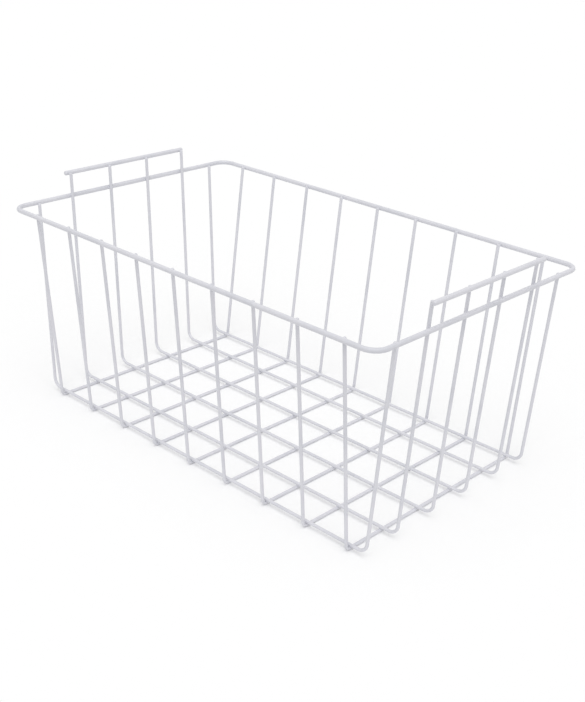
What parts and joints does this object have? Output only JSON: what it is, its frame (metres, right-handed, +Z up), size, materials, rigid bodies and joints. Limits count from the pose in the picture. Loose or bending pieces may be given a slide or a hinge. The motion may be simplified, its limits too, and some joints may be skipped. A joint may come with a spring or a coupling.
{
  "type": "wire freezer basket",
  "caption": "Open rectangular basket of welded white-coated wire with tapered walls, a thick rim and a raised hanger bar at each end, for hanging in a chest freezer.",
  "frame": {"origin": "middle of the basket's footprint, at the height of the underside of the floor wires", "axes": "+X along the basket towards its right end, +Y across it towards its back, +Z up out of its mouth"},
  "size_m": [0.5494, 0.337, 0.2641],
  "materials": {
    "grid_wire": "white plastic-coated steel wire, satin",
    "rim": "white plastic-coated steel wire of a heavier gauge, satin",
    "hanger": "white plastic-coated steel wire of a heavier gauge, satin"
  },
  "bodies": {
    "root": {"cross_wire_1": "grid_wire", "cross_wire_2": "grid_wire", "cross_wire_3": "grid_wire", "cross_wire_4": "grid_wire", "cross_wire_5": "grid_wire", "cross_wire_6": "grid_wire", "cross_wire_7": "grid_wire", "cross_wire_8": "grid_wire", "cross_wire_9": "grid_wire", "long_wire_1": "grid_wire", "long_wire_2": "grid_wire", "long_wire_3": "grid_wire", "long_wire_4": "grid_wire", "long_wire_5": "grid_wire", "long_wire_6": "grid_wire", "rim_wire": "rim", "hanger_bar_left": "hanger", "hanger_bar_right": "hanger"}
  },
  "joints": []
}
